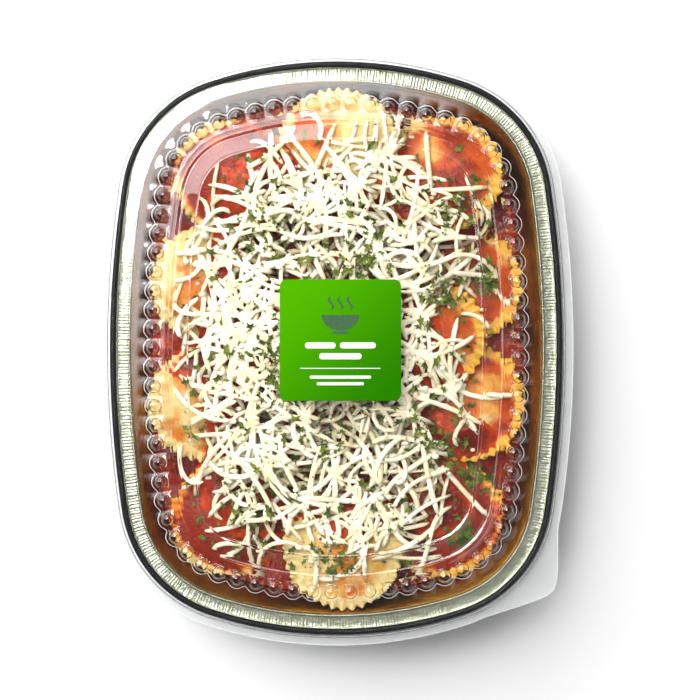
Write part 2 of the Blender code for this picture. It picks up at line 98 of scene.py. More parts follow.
INNER_STEPS = (  # offset and height above the flat ring in mm, from the beads in to the top panel's edge
    (-22.9, 9.85), (-24.6, 10.2), (-25.1, 10.45), (-25.6, 10.8), (-26.1, 10.95), (-26.6, 10.8),
    (-27.2, 10.55), (-27.8, 10.6), (-28.3, 10.9), (-28.8, 11.3), (-33.4, 14.3), (-33.9, 14.75),
    (-34.4, 15.1), (-34.9, 15.15), (-35.4, 14.98), (-36.0, 14.85),
)
THIN_ROWS = 8  # rows of points outside the beads where the plastic is stretched thin
HIGHLIGHT_ROWS = 3  # rows of faces on the scalloped top edge, made partly opaque white as a painted highlight
LIP_ROW = 17  # first row of faces of the lip
TRIMMED_ROW = 21  # row of faces at the lip's trimmed edge, whitish as a cut edge is and made whiter still as a painted highlight line
TAB_SIDE_X = 95.8 * MM
TAB_END_POINT = (91.5 * MM, -107.5 * MM)
TAB_END_TURN = math.radians(18)
TAB_ROUNDING = 5 * MM

# Food
RAVIOLI_RADIUS = 26.2 * MM
RAVIOLI_TURNS = 200
RUFFLES = 40
SAUCE_LEVEL = 27.5 * MM
CELL = 0.5 * MM  # cell of the height map that the toppings are laid on
MAP_HALF_WIDTH = 88 * MM
MAP_HALF_LENGTH = 116 * MM

# Studio
CAMERA_PLACE = (5.9 * MM, -0.8 * MM, 1.246)
CAMERA_ANGLE = math.radians(14.3)
FLOOR_HALF_SIZE = 3.0


# Shapes


def heading(start, end):
    """Angle of the line from one point to another."""
    return math.atan2(end[1] - start[1], end[0] - start[0])


def find_corner():
    """Centres of the side, end and corner arcs of the quarter towards +X and +Y."""
    side = np.array((RIM_HALF_WIDTH - SIDE_ARC_RADIUS, 0.0))
    end = np.array((0.0, RIM_HALF_LENGTH - END_ARC_RADIUS))
    to_side = SIDE_ARC_RADIUS - CORNER_RADIUS
    to_end = END_ARC_RADIUS - CORNER_RADIUS
    between = end - side
    gap = math.hypot(*between)
    along = (to_side**2 - to_end**2 + gap**2) / (2 * gap)
    across = math.sqrt(to_side**2 - along**2)
    unit = between / gap
    return side, end, side + unit * along + np.array((-unit[1], unit[0])) * across


SIDE_CENTRE, END_CENTRE, CORNER_CENTRE = find_corner()
FIRST_TURN = heading(SIDE_CENTRE, CORNER_CENTRE)  # of the rim's normal, where side and corner arc meet
SECOND_TURN = heading(END_CENTRE, CORNER_CENTRE)  # where corner and end arc meet


def outline(count, offset=0.0):
    """Points on the rim's outer edge and their normals, with equal steps along the line at that offset."""
    quarter = [0, FIRST_TURN, SECOND_TURN, math.pi / 2]
    radii = [SIDE_ARC_RADIUS, CORNER_RADIUS, END_ARC_RADIUS]
    lengths = [(quarter[k + 1] - quarter[k]) * (radii[k] + offset) for k in range(3)]
    knots = [0.0]
    walked = [0.0]
    for part in range(4):
        order = range(3) if part % 2 == 0 else range(2, -1, -1)
        for k in order:
            knots.append(knots[-1] + quarter[k + 1] - quarter[k])
            walked.append(walked[-1] + lengths[k])
    turns = np.interp(np.arange(count) * walked[-1] / count, walked, knots)
    cosine = np.cos(turns)
    sine = np.sin(turns)
    folded = np.arctan2(np.abs(sine), np.abs(cosine))
    choice = np.digitize(folded, (FIRST_TURN, SECOND_TURN))
    centres = np.array((SIDE_CENTRE, CORNER_CENTRE, END_CENTRE))[choice]
    reach = np.array(radii)[choice]
    near = centres + reach[:, None] * np.stack((np.abs(cosine), np.abs(sine)), 1)
    signs = np.stack((np.where(cosine < 0, -1, 1), np.where(sine < 0, -1, 1)), 1)
    return near * signs, np.stack((cosine, sine), 1)


def ring_at(places, offset, height):
    points, normals = places
    offset = np.broadcast_to(offset, len(points))
    height = np.broadcast_to(height, len(points))
    return np.column_stack((points + normals * offset[:, None], height))


def grid_faces(rows, columns):
    """Quads between neighbouring rows of points, each of which runs round anticlockwise."""
    row, column = np.meshgrid(np.arange(rows - 1), np.arange(columns), indexing="ij")
    following = (column + 1) % columns
    here = row * columns
    above = here + columns
    quads = np.stack((here + column, here + following, above + following, above + column), -1)
    return quads.reshape(-1, 4)


def mesh_piece(name, points, faces, material, smooth=True):
    mesh = bpy.data.meshes.new(name)
    mesh.from_pydata([tuple(p) for p in points], [], [tuple(int(i) for i in f) for f in faces])
    mesh.validate()
    mesh.update()
    mesh.polygons.foreach_set("use_smooth", [smooth] * len(mesh.polygons))
    mesh.materials.append(material)
    obj = bpy.data.objects.new(name, mesh)
    bpy.context.scene.collection.objects.link(obj)
    return obj


def give_values(obj, name, values):
    attribute = obj.data.attributes.new(name, "FLOAT", "POINT")
    attribute.data.foreach_set("value", np.asarray(values, np.float32))


def finish_piece(obj, slot, *nodes):
    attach(obj, "root")
    if nodes:
        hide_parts(*nodes)


def thicken(obj, thickness, even=True, drawn_thin=()):
    """Gives a sheet its thickness on its lower side, and keeps the outcome as a plain mesh.

    The points in drawn_thin get less than half of it, as plastic does where it is stretched most.
    """
    modifier = obj.modifiers.new("thickness", "SOLIDIFY")
    if drawn_thin:
        full = obj.vertex_groups.new(name="full_thickness")
        full.add(range(len(obj.data.vertices)), 1.0, "REPLACE")
        full.add([int(k) for k in drawn_thin], 0.45, "REPLACE")
        modifier.vertex_group = "full_thickness"
    modifier.thickness = thickness
    modifier.offset = -1
    modifier.use_even_offset = even
    shape = obj.evaluated_get(bpy.context.evaluated_depsgraph_get())
    mesh = bpy.data.meshes.new_from_object(shape)
    obj.modifiers.clear()
    obj.data = mesh


def smooth_step(low, high, value):
    share = np.clip((value - low) / (high - low), 0, 1)
    return share * share * (3 - 2 * share)


def rough_field(x, y, size, seed, octaves=3):
    """Smooth random values from about -1 to 1 over the plane, with features of that size."""
    flat = zip(np.ravel(x), np.ravel(y))
    values = [noise.fractal(Vector((a / size, b / size, seed)), 0.9, 2.0, octaves) for a, b in flat]
    return np.array(values).reshape(np.shape(x))


# Materials


def node(tree, kind, inputs=None, **settings):
    made = tree.nodes.new(kind)
    for key, value in settings.items():
        setattr(made, key, value)
    for key, value in (inputs or {}).items():
        if isinstance(value, bpy.types.NodeSocket):
            tree.links.new(value, made.inputs[key])
        else:
            made.inputs[key].default_value = value
    return made


def mixed(tree, share, first, second):
    """Colour between two colours."""
    return node(tree, "ShaderNodeMix", {0: share, 6: first, 7: second}, data_type="RGBA").outputs[2]


def between(tree, value, low, high):
    """0 where value is below low, 1 where it is above high."""
    inputs = {"Value": value, "From Min": low, "From Max": high}
    return node(tree, "ShaderNodeMapRange", inputs, interpolation_type="SMOOTHSTEP").outputs["Result"]


def colour(red, green, blue):
    """Linear colour of an sRGB one, given from 0 to 255."""
    shares = [c / 255 for c in (red, green, blue)]
    return (*(s / 12.92 if s <= 0.04045 else ((s + 0.055) / 1.055) ** 2.4 for s in shares), 1)


def build_patches():
    """A mask of soft patches: 1 inside them, 0 outside."""
    tree = bpy.data.node_groups.new("patches", "ShaderNodeTree")
    for name, start in (("Scale", 100.0), ("Detail", 3.0), ("Low", 0.4), ("High", 0.6)):
        tree.interface.new_socket(name, in_out="INPUT", socket_type="NodeSocketFloat").default_value = start
    tree.interface.new_socket("Mask", in_out="OUTPUT", socket_type="NodeSocketFloat")
    given = tree.nodes.new("NodeGroupInput")
    place = node(tree, "ShaderNodeTexCoord").outputs["Object"]
    inputs = {"Vector": place, "Scale": given.outputs["Scale"], "Detail": given.outputs["Detail"]}
    cloud = node(tree, "ShaderNodeTexNoise", inputs).outputs["Fac"]
    mask = between(tree, cloud, given.outputs["Low"], given.outputs["High"])
    node(tree, "NodeGroupOutput", {"Mask": mask})
    return tree


PATCHES = build_patches()


def patch_mask(tree, scale, low=0.4, high=0.6, detail=3.0):
    """Places the shared patches in a material, with their own size and softness."""
    inputs = {"Scale": scale, "Detail": detail, "Low": low, "High": high}
    return node(tree, "ShaderNodeGroup", inputs, node_tree=PATCHES).outputs["Mask"]


def bump(tree, height, distance, strength=1.0):
    inputs = {"Height": height, "Distance": distance, "Strength": strength}
    return node(tree, "ShaderNodeBump", inputs).outputs["Normal"]


def new_material(name, **values):
    """A material with its surface, whose inputs are named with underscores, and the tree it stands in."""
    material = bpy.data.materials.new(name)
    material.use_nodes = True
    tree = material.node_tree
    surface = tree.nodes["Principled BSDF"]
    for key, value in values.items():
        surface.inputs[key.replace("_", " ")].default_value = value
    return material, tree, surface


def coat(tree, surface, tone, grain, depth):
    """Gives a surface its colour and a fine relief, whose grain is a patch setting."""
    tree.links.new(tone, surface.inputs["Base Color"])
    tree.links.new(bump(tree, patch_mask(tree, *grain), depth), surface.inputs["Normal"])


def mottled(name, tones, cloud, grain, depth, **values):
    """A material of two tones in soft patches, with a fine relief."""
    material, tree, surface = new_material(name, **values)
    coat(tree, surface, mixed(tree, patch_mask(tree, *cloud), *tones), grain, depth)
    return material


def gold_foil():
    tones = (colour(151, 153, 133), colour(170, 172, 154))
    cloud = (160, 0.3, 0.7, 4.0)
    scuffs = (420, 0.2, 0.8, 5.0)
    return mottled("gold_lacquered_foil", tones, cloud, scuffs, 0.12 * MM, Metallic=1.0, Roughness=0.36)


def wall_gold_painted_shade():
    # Painted shade and painted reflection: the wall is the same gold foil as the flange, but its tones are
    # painted darker and browner to stand in for its shade and its reflection of the red sauce.
    tones = (colour(130, 84, 24), colour(154, 110, 42))
    cloud = (90, 0.3, 0.7, 4.0)
    scuffs = (260, 0.2, 0.8, 5.0)
    return mottled("wall_foil_painted_shade", tones, cloud, scuffs, 0.2 * MM, Metallic=1.0, Roughness=0.34)


def black_lacquer():
    tones = (colour(6, 7, 7), colour(13, 14, 14))
    finish = {"Roughness": 0.34, "Specular_IOR_Level": 0.2}
    return mottled("black_lacquer", tones, (220, 0.3, 0.7), (700, 0.2, 0.8), 0.05 * MM, **finish)


def clear_plastic(name, clearness, first, second):
    """Clear plastic that lets the lamps' light straight through, so that what lies under it is lit."""
    material, tree, surface = new_material(name, Roughness=0.03, IOR=1.57, Transmission_Weight=clearness)
    waves = patch_mask(tree, 35, 0.2, 0.8, 2.0)
    tree.links.new(bump(tree, waves, 0.25 * MM, 0.4), surface.inputs["Normal"])
    tree.links.new(mixed(tree, patch_mask(tree, 50), first, second), surface.inputs["Base Color"])
    through = node(tree, "ShaderNodeBsdfTransparent", {"Color": (0.93, 0.93, 0.93, 1)})
    shadow = node(tree, "ShaderNodeLightPath").outputs["Is Shadow Ray"]
    both = node(tree, "ShaderNodeMixShader", {0: shadow, 1: surface.outputs[0], 2: through.outputs[0]})
    tree.links.new(both.outputs[0], tree.nodes["Material Output"].inputs["Surface"])
    return material


def label_green():
    material, tree, surface = new_material("label_green", Roughness=0.9, Specular_IOR_Level=0.02)
    place = node(tree, "ShaderNodeTexCoord").outputs["Generated"]
    parts = node(tree, "ShaderNodeSeparateXYZ", {0: place}).outputs
    # Painted shade: the green is lighter towards the label's top-left corner and darker towards its
    # bottom-right one, away from the lamps.
    painted_shade_slope = node(tree, "ShaderNodeMath", {0: parts["X"], 1: parts["Y"]}, operation="SUBTRACT").outputs[0]
    tone = mixed(tree, between(tree, painted_shade_slope, -1.0, 1.0), colour(76, 166, 0), colour(34, 116, 0))
    tree.links.new(tone, surface.inputs["Base Color"])
    return material


def label_print(name, light, dark):
    material, tree, surface = new_material(name, Roughness=0.45)
    tree.links.new(mixed(tree, patch_mask(tree, 900), light, dark), surface.inputs["Base Color"])
    return material


def pasta():
    """Fresh egg pasta, stained orange by the sauce's oil and in places filmed with the sauce."""
    material, tree, surface = new_material("pasta", Roughness=0.38, Specular_IOR_Level=0.3)
    stained = patch_mask(tree, 60, 0.38, 0.62, 4.0)
    dough = mixed(tree, stained, colour(212, 164, 78), colour(206, 118, 26))
    flecked = mixed(tree, patch_mask(tree, 140, 0.5, 0.7, 4.0), dough, colour(216, 190, 130))
    film = node(tree, "ShaderNodeAttribute", attribute_name="film").outputs["Fac"]
    # Bare pasta goes from paler at -X to darker and more orange at +X, by its place across the tray.
    place = node(tree, "ShaderNodeTexCoord").outputs["Object"]
    side = node(tree, "ShaderNodeSeparateXYZ", {0: place}).outputs["X"]
    bare = mixed(tree, between(tree, side, 20 * MM, 52 * MM), colour(216, 190, 126), colour(220, 164, 58))
    pale = mixed(tree, between(tree, film, 0.0, 0.28), bare, flecked)
    thin = mixed(tree, between(tree, film, 0.26, 0.58), pale, colour(186, 72, 12))
    thick = mixed(tree, between(tree, film, 0.55, 0.9), thin, colour(128, 30, 8))
    coat(tree, surface, thick, (700, 0.25, 0.75, 5.0), 0.25 * MM)
    return material


def tomato_sauce():
    """Red sauce, orange where it is thin, with bits of tomato in it."""
    material, tree, surface = new_material("tomato_sauce", Roughness=0.22, Specular_IOR_Level=0.22)
    bits = patch_mask(tree, 170, 0.45, 0.68, 4.0)
    red = mixed(tree, bits, colour(130, 27, 5), colour(166, 48, 8))
    deep = mixed(tree, patch_mask(tree, 60, 0.42, 0.62, 2.0), red, colour(94, 16, 5))
    film = node(tree, "ShaderNodeAttribute", attribute_name="film").outputs["Fac"]
    tone = mixed(tree, between(tree, film, 0.0, 1.0), colour(182, 58, 12), deep)
    coat(tree, surface, tone, (330, 0.2, 0.8, 3.0), 0.45 * MM)
    return material


def white_cheese():
    tones = (colour(238, 231, 208), colour(226, 212, 172))
    return mottled("shredded_cheese", tones, (120, 0.35, 0.65), (900, 0.2, 0.8), 0.12 * MM, Roughness=0.5)


def chopped_herb():
    tones = (colour(42, 60, 10), colour(104, 116, 36))
    finish = {"Roughness": 0.6, "Specular_IOR_Level": 0.2}
    return mottled("chopped_herb", tones, (260, 0.35, 0.65), (800, 0.2, 0.8), 0.15 * MM, **finish)


# Tray


def build_tray():
    """Two skins: gold inside with the crimped flange, black outside with the rolled rim."""
    places = outline(CRIMP_COUNT * CRIMP_STEPS)
    draw = random.Random(5)
    crimp = np.zeros(len(places[0]))
    for k in range(CRIMP_COUNT):
        crimp[CRIMP_STEPS * k + draw.choice((1, 2))] = -draw.uniform(0.3, 1.0)
    rows = []
    for offset, height, depth in GOLD_STEPS:
        rows.append(ring_at(places, offset * MM, height * MM + depth * CRIMP_DEPTH * crimp))
    wall = np.concatenate(rows[:WALL_ROWS])[::CRIMP_STEPS]
    faces = [*grid_faces(WALL_ROWS, CRIMP_COUNT)[:, ::-1], range(CRIMP_COUNT)]
    inner = mesh_piece("tray_inner_wall", wall, faces, wall_gold_painted_shade())
    inner.data.polygons[-1].use_smooth = False  # the flat floor
    thicken(inner, FOIL_THICKNESS)
    finish_piece(inner, "gold_foil", "tray")
    flange_rows = rows[WALL_ROWS - 1:]
    faces = grid_faces(len(flange_rows), len(places[0]))[:, ::-1]
    flange = mesh_piece("tray_flange", np.concatenate(flange_rows), faces, gold_foil())
    thicken(flange, FOIL_THICKNESS)
    finish_piece(flange, "gold_foil", "tray")
    build_black_skin()


def build_black_skin():
    count = 600
    places = outline(count)
    steps = list(BLACK_STEPS)
    for degrees in range(215, 516, 25):  # round the roll, from its inner underside outwards
        turn = math.radians(degrees)
        across = -ROLL_RADIUS + ROLL_RADIUS * math.cos(turn)
        steps.append((across / MM, (TRAY_HEIGHT - ROLL_RADIUS + ROLL_RADIUS * math.sin(turn)) / MM))
    rows = [ring_at(places, offset * MM, height * MM) for offset, height in steps]
    faces = [*grid_faces(len(rows), count), range(count)]
    skin = mesh_piece("tray_outer_skin", np.concatenate(rows), faces, black_lacquer())
    skin.data.polygons[-1].use_smooth = False  # the flat floor
    finish_piece(skin, "black_lacquer", "tray")


# Lid


def lip_reach(places):
    """How far the lip stands out of the rim: evenly, apart from the pull tab's corner."""
    reach = []
    for (x, y), (nx, ny) in zip(*places):
        if x < 0 or y > 0 or math.atan2(nx, -ny) < TAB_END_TURN:
            reach.append(LIP_OFFSET)
            continue
        across, down = math.sin(TAB_END_TURN), -math.cos(TAB_END_TURN)
        to_side = (TAB_SIDE_X - x) / max(nx, 1e-6)
        facing = max(nx * across + ny * down, 1e-6)
        to_end = ((TAB_END_POINT[0] - x) * across + (TAB_END_POINT[1] - y) * down) / facing
        near, far = sorted((to_side, to_end))
        reach.append(max(LIP_OFFSET, near - TAB_ROUNDING / 2 * math.exp(-(far - near) / TAB_ROUNDING)))
    return np.array(reach)


def bead_patch(border, centre, first):
    """Points and faces of one hollow bead and the flat round it, inside its square of the band.

    The square's border is given as indices with their places, and first is the next free index.
    """
    points = []
    faces = []
    lanes = []
    for share, lift in BEAD_PROFILE:
        lane = []
        for _, place in border:
            away = place - centre
            flat = Vector((away.x, away.y, 0)).normalized()
            spot = centre + flat * share * BEAD_RADIUS
            rise = away.z * share * BEAD_RADIUS / max(away.length, 1e-9) if share >= 1 else 0.0
            points.append((spot.x, spot.y, centre.z + rise + lift * BEAD_RADIUS))
            lane.append(first + len(points) - 1)
        lanes.append(lane)
    points.append((centre.x, centre.y, centre.z + BEAD_RADIUS))
    crown = first + len(points) - 1
    lanes.insert(0, [index for index, _ in border])
    for outer, inner in zip(lanes, lanes[1:]):
        for k in range(len(border)):
            following = (k + 1) % len(border)
            faces.append((outer[k], outer[following], inner[following], inner[k]))
    last = lanes[-1]
    for k in range(len(border)):
        faces.append((last[k], last[(k + 1) % len(border)], crown))
    return points, faces


# Distance from a bead's middle and height of its rings, in bead radii
BEAD_PROFILE = [(1.045, 0.0), (1.01, 0.03), (0.985, 0.12)]
BEAD_PROFILE += [(math.cos(math.radians(e)), math.sin(math.radians(e))) for e in (14, 27, 40, 53, 66, 78)]

# How far the dome's wall is drawn in, in mm, along one bead from the gap before it to the next
SCALLOP = (-2.05, -1.35, -0.52, -0.12, 0, -0.12, -0.52, -1.35)


def build_lid():
    """One sheet: wall, flat ring and lip outside the beads, the dome and its panel inside them."""
    count = BEAD_COUNT * BEAD_STEPS
    places = outline(count, BEAD_LINE)
    scallop = np.tile(SCALLOP, BEAD_COUNT) * MM
    rows = [ring_at(places, o * MM + share * scallop, LAND_HEIGHT + h * MM) for o, h, share in OUTER_STEPS]
    reach = lip_reach(places)
    rows.append(ring_at(places, np.maximum(reach - 0.5 * MM, 2.6 * MM), LAND_HEIGHT - LIP_DROP))
    rows.append(ring_at(places, reach - 0.3 * MM, LAND_HEIGHT - LIP_DROP - 0.02 * MM))
    rows.append(ring_at(places, reach, LAND_HEIGHT - LIP_DROP - 0.05 * MM))
    points = list(np.concatenate(rows))
    faces = list(grid_faces(len(rows), count)[:, ::-1])
    inner_start = len(points)
    rows = [ring_at(places, o * MM, LAND_HEIGHT + h * MM) for o, h in INNER_STEPS]
    last = rows[-1]
    for share, rise in ((0.8, 0.18 * MM), (0.5, PANEL_CROWN)):
        rows.append(last * (share, share, 1) + (0, 0, rise))
    points += list(np.concatenate(rows))
    faces += list(grid_faces(len(rows), count) + inner_start)
    middle = len(points)
    points.append((0, 0, last[0][2] + PANEL_CROWN))
    edge = inner_start + (len(rows) - 1) * count
    faces += [(edge + k, edge + (k + 1) % count, middle) for k in range(count)]
    drawn_thin = list(range(THIN_ROWS * count))
    band_outer = np.array((OUTER_STEPS[0][0] + SCALLOP[0], OUTER_STEPS[0][1])) * MM
    band_inner = np.array(INNER_STEPS[0]) * MM
    spokes = []
    for station in range(0, count, BEAD_STEPS):
        spokes.append(list(range(len(points), len(points) + BEAD_STEPS - 1)))
        for k in range(1, BEAD_STEPS):
            offset, height = band_outer + (band_inner - band_outer) * k / BEAD_STEPS
            spot = places[0][station] + places[1][station] * offset
            points.append((*spot, LAND_HEIGHT + height))
    for bead in range(BEAD_COUNT):
        start = bead * BEAD_STEPS
        following = (bead + 1) % BEAD_COUNT
        outer = [(start + k) % count for k in range(BEAD_STEPS + 1)]
        inner = [inner_start + index for index in outer]
        loop = outer + spokes[following] + inner[::-1] + spokes[bead][::-1]
        border = [(index, Vector(points[index])) for index in loop]
        mid = start + BEAD_STEPS // 2
        spot = places[0][mid] + places[1][mid] * BEAD_LINE
        centre = Vector((*spot, LAND_HEIGHT + BEAD_FOOT))
        more, quads = bead_patch(border, centre, len(points))
        drawn_thin += range(len(points), len(points) + len(more))
        points += more
        faces += quads
    clear = (colour(252, 253, 253), colour(254, 255, 255))
    lid = mesh_piece("lid", points, faces, clear_plastic("clear_plastic", 1.0, *clear))
    finishes = lid.data.materials
    finishes.append(clear_plastic("milky_lip", 0.62, colour(233, 234, 234), colour(235, 236, 236)))
    # The lip's trimmed edge is partly a frosted cut edge and partly a painted highlight: it is made nearly
    # opaque white so that a bright line shows round the lip.
    finishes.append(clear_plastic("cut_edge_with_painted_highlight", 0.25, colour(246, 246, 246), colour(250, 250, 250)))
    # Painted highlight: the scalloped top edge is made partly opaque white, so that a bright line shows along
    # it.
    finishes.append(clear_plastic("edge_painted_highlight", 0.6, *clear))
    finish = np.zeros(len(faces), np.int32)
    finish[:HIGHLIGHT_ROWS * count] = finishes.find("edge_painted_highlight")
    finish[LIP_ROW * count:TRIMMED_ROW * count] = finishes.find("milky_lip")
    finish[TRIMMED_ROW * count:(TRIMMED_ROW + 1) * count] = finishes.find("cut_edge_with_painted_highlight")
    lid.data.polygons.foreach_set("material_index", finish)
    thicken(lid, LID_THICKNESS, False, drawn_thin)
    lid.data.polygons.foreach_set("use_smooth", [True] * len(lid.data.polygons))
    finish_piece(lid, "clear_plastic", "lid")


# Label


def plate(corners, low, high):
    """Points and faces of a flat plate with that outline."""
    count = len(corners)
    points = [(x, y, low) for x, y in corners] + [(x, y, high) for x, y in corners]
    faces = [tuple(range(count))[::-1], tuple(range(count, 2 * count))]
    faces += [(k, (k + 1) % count, count + (k + 1) % count, count + k) for k in range(count)]
    return points, faces


def rounded(x0, y0, x1, y1, radius, steps=6):
    corners = []
    for cx, cy, start in (
        (x1 - radius, y0 + radius, -90), (x1 - radius, y1 - radius, 0),
        (x0 + radius, y1 - radius, 90), (x0 + radius, y0 + radius, 180),
    ):
        for step in range(steps + 1):
            turn = math.radians(start + 90 * step / steps)
            corners.append((cx + radius * math.cos(turn), cy + radius * math.sin(turn)))
    return corners


def build_label():
    low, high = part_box("label")
    top = high.z
    sheet = rounded(low.x, low.y, high.x, high.y, 3 * MM, 8)
    points, faces = plate(sheet, low.z, top - 0.06 * MM)
    label = mesh_piece("label", points, faces, label_green(), smooth=False)
    finish_piece(label, "label_print", "label")
    middle_x = (low.x + high.x) / 2
    base = low.y

    def bars(name, shapes, material):
        all_points = []
        all_faces = []
        for shape in shapes:
            points, faces = plate(shape, top - 0.07 * MM, top - 0.01 * MM)
            first = len(all_points)
            all_points += points
            all_faces += [tuple(i + first for i in f) for f in faces]
        piece = mesh_piece(name, all_points, all_faces, material, smooth=False)
        finish_piece(piece, "label_print")

    def bar(left, right, y, height):
        x0 = middle_x + left * MM
        x1 = middle_x + right * MM
        y0 = base + y * MM
        return rounded(x0, y0, x1, y0 + height * MM, height * MM / 2 * 0.9, 4)

    white = [
        bar(-15, -2, 22.2, 2.6), bar(-0.2, 15, 22.2, 2.6), bar(-9, 9, 17.6, 2.6), bar(-17, 17, 13.6, 0.35),
        bar(-13, 13, 9.4, 1.3), bar(-10, 10, 6.6, 1.3),
    ]
    bars("label_lines", white, label_print("label_white", colour(250, 252, 244), colour(238, 246, 226)))
    bowl = [(middle_x + 8 * MM * math.cos(t), base + 36.4 * MM + 6.6 * MM * math.sin(t))
            for t in np.linspace(math.pi, 2 * math.pi, 24)]
    foot = bar(-3.4, 3.4, 28.3, 1.3)
    steam = []
    for shift in (-4, 0, 4):
        left = []
        right = []
        for step in range(13):
            rise = step / 12
            x = middle_x + (shift + 0.9 * math.sin(rise * 2 * math.pi)) * MM
            y = base + (38.4 + 6.2 * rise) * MM
            half = (0.15 + 0.5 * math.sin(rise * math.pi)) * MM
            left.append((x - half, y))
            right.append((x + half, y))
        steam.append(right + left[::-1])
    dark = label_print("label_dark_green", colour(22, 78, 24), colour(26, 88, 28))
    bars("label_bowl", [bowl, foot, *steam], dark)


# Food


def ravioli_frame(obj):
    """Centre of a CAD ravioli's border and the direction that its top faces."""
    points = np.array([v.co for v in obj.data.vertices])
    middle = points.mean(0)
    facing = np.linalg.svd(points - middle)[2][2]
    facing = facing * math.copysign(1, facing[2])
    away = points - middle
    away -= np.outer(away @ facing, facing)
    distance = np.linalg.norm(away, axis=1)
    border = points[distance > 0.85 * distance.max()]
    return border.mean(0), facing


# Share of each ravioli's top that the sauce films, in the CAD's order
RAVIOLI_FILM = (0.84, 0.62, 0.55, 0.42, 0.7, 0.7, 0.08, 0.84, 0.12, 0.44, 0.84, 0.06, 0.60, 0.7)

# A ravioli's form from its middle to its edge: share of its radius, and height of its top and underside in mm
TOP_SHARES = (0, 0.3, 0.5, 0.62, 0.70, 0.76, 0.82, 1)
TOP_HEIGHTS = (5.8, 5.5, 4.5, 3.3, 2.2, 1.35, 1.15, 0.7)
UNDERSIDE_SHARES = (0, 0.5, 0.75, 1)
UNDERSIDE_HEIGHTS = (2.6, 2.6, 1.2, 0.5)


def build_ravioli(material):
    shares = np.concatenate((np.linspace(0.06, 0.6, 10), np.linspace(0.65, 1.0, 12)))
    turns = np.arange(RAVIOLI_TURNS) * 2 * math.pi / RAVIOLI_TURNS
    made = []
    for number, film in enumerate(RAVIOLI_FILM, 1):
        draw = random.Random(100 + number)
        name = f"ravioli_{number:02d}"
        centre, facing = ravioli_frame(NODES[name])
        start = [draw.uniform(0, 2 * math.pi) for _ in range(4)]
        across = np.cross((0, 1, 0), facing)
        across /= np.linalg.norm(across)
        along = np.cross(facing, across)
        uneven = 1 + 0.018 * np.cos(2 * turns + start[0]) + 0.012 * np.cos(3 * turns + start[1])
        drift = 0.35 * np.sin(2 * turns + start[2]) + 0.3 * np.sin(5 * turns + start[3])
        crimps = np.cos(RUFFLES * (turns + 0.05 * drift))
        rows = []
        films = []
        for side in (1, -1):
            for share in shares if side == 1 else shares[::-1]:
                radius = RAVIOLI_RADIUS * share * uneven
                border = float(smooth_step(0.74, 0.86, share))
                edge = float(smooth_step(0.84, 1.0, share))
                bare = float(smooth_step(0.78, 0.92, share))
                radius = radius + edge * 0.55 * MM * crimps
                x = radius * np.cos(turns)
                y = radius * np.sin(turns)
                seed = 7.3 * number
                lumps = np.array([noise.noise(Vector((a / 0.008, b / 0.008, seed))) for a, b in zip(x, y)])
                pillow = np.interp(share, TOP_SHARES, TOP_HEIGHTS)
                if side < 0:
                    pillow = -np.interp(share, UNDERSIDE_SHARES, UNDERSIDE_HEIGHTS)
                height = pillow * MM + lumps * 0.45 * MM * (1 - border)
                height = height + (0.25 * border + 0.75 * edge) * MM * crimps
                height = height + 0.6 * MM * share**3 * np.cos(3 * turns + start[2])
                spots = centre + np.outer(x, across) + np.outer(y, along) + np.outer(height, facing)
                rows.append(spots)
                patch = rough_field(x, y, 0.026, seed, 4)
                films.append(np.clip(0.65 + 0.8 * patch + 1.5 * (film - 0.5) - 1.0 * bare, 0, 1))
        points = np.concatenate(rows)
        faces = list(grid_faces(len(rows), RAVIOLI_TURNS)[:, ::-1])
        films = list(np.concatenate(films))
        first = len(points)
        top = centre + facing * 5.85 * MM
        under = centre - facing * 2.6 * MM
        points = np.concatenate((points, [top, under]))
        last = (len(rows) - 1) * RAVIOLI_TURNS
        for k in range(RAVIOLI_TURNS):
            following = (k + 1) % RAVIOLI_TURNS
            faces.append((k, following, first))
            faces.append((last + following, last + k, first + 1))
        obj = mesh_piece(name, points, faces, material)
        give_values(obj, "film", films + [films[0], 0.5])
        finish_piece(obj, "pasta", name)
        made.append(obj)
    return made


def wall_offset(height):
    return float(np.interp(height, (3.5 * MM, 40.6 * MM), (-30.5 * MM, -9.9 * MM)))


def build_sauce(material):
    """The sauce that fills the tray's lower part, with a lumpy surface."""
    count = 360
    places = outline(count)
    level = SAUCE_LEVEL + 1.2 * MM
    edge = ring_at(places, wall_offset(level) - 0.5 * MM, level)
    foot = ring_at(places, wall_offset(4 * MM) - 0.8 * MM, 4 * MM)
    floor = ring_at(places, -33 * MM, 0.9 * MM)
    rows = [floor, foot, edge - (0, 0, 1.5 * MM)]
    for share in np.concatenate((np.linspace(1, 0.9, 10), np.linspace(0.89, 0.03, 70))):
        ring = edge * (share, share, 1)
        x, y = ring[:, 0], ring[:, 1]
        across = np.minimum(1, (x / RIM_HALF_WIDTH) ** 2 + (y / RIM_HALF_LENGTH) ** 2)
        inside = smooth_step(1.0, 0.95, share)
        lumps = 1.1 * rough_field(x, y, 11 * MM, 3.1) + 0.35 * rough_field(x, y, 3 * MM, 8.4)
        ring[:, 2] = level + 2.2 * MM * (1 - across) ** 0.8 + lumps * MM * (0.3 + 0.7 * inside)
        rows.append(ring)
    points = np.concatenate(rows)
    faces = list(grid_faces(len(rows), count))
    last = (len(rows) - 1) * count
    faces.append(tuple(last + k for k in range(count)))
    faces.append(tuple(range(count))[::-1])
    sauce = mesh_piece("sauce", points, faces, material)
    give_values(sauce, "film", np.ones(len(points)))
    finish_piece(sauce, "tomato_sauce", "sauce")
    return sauce


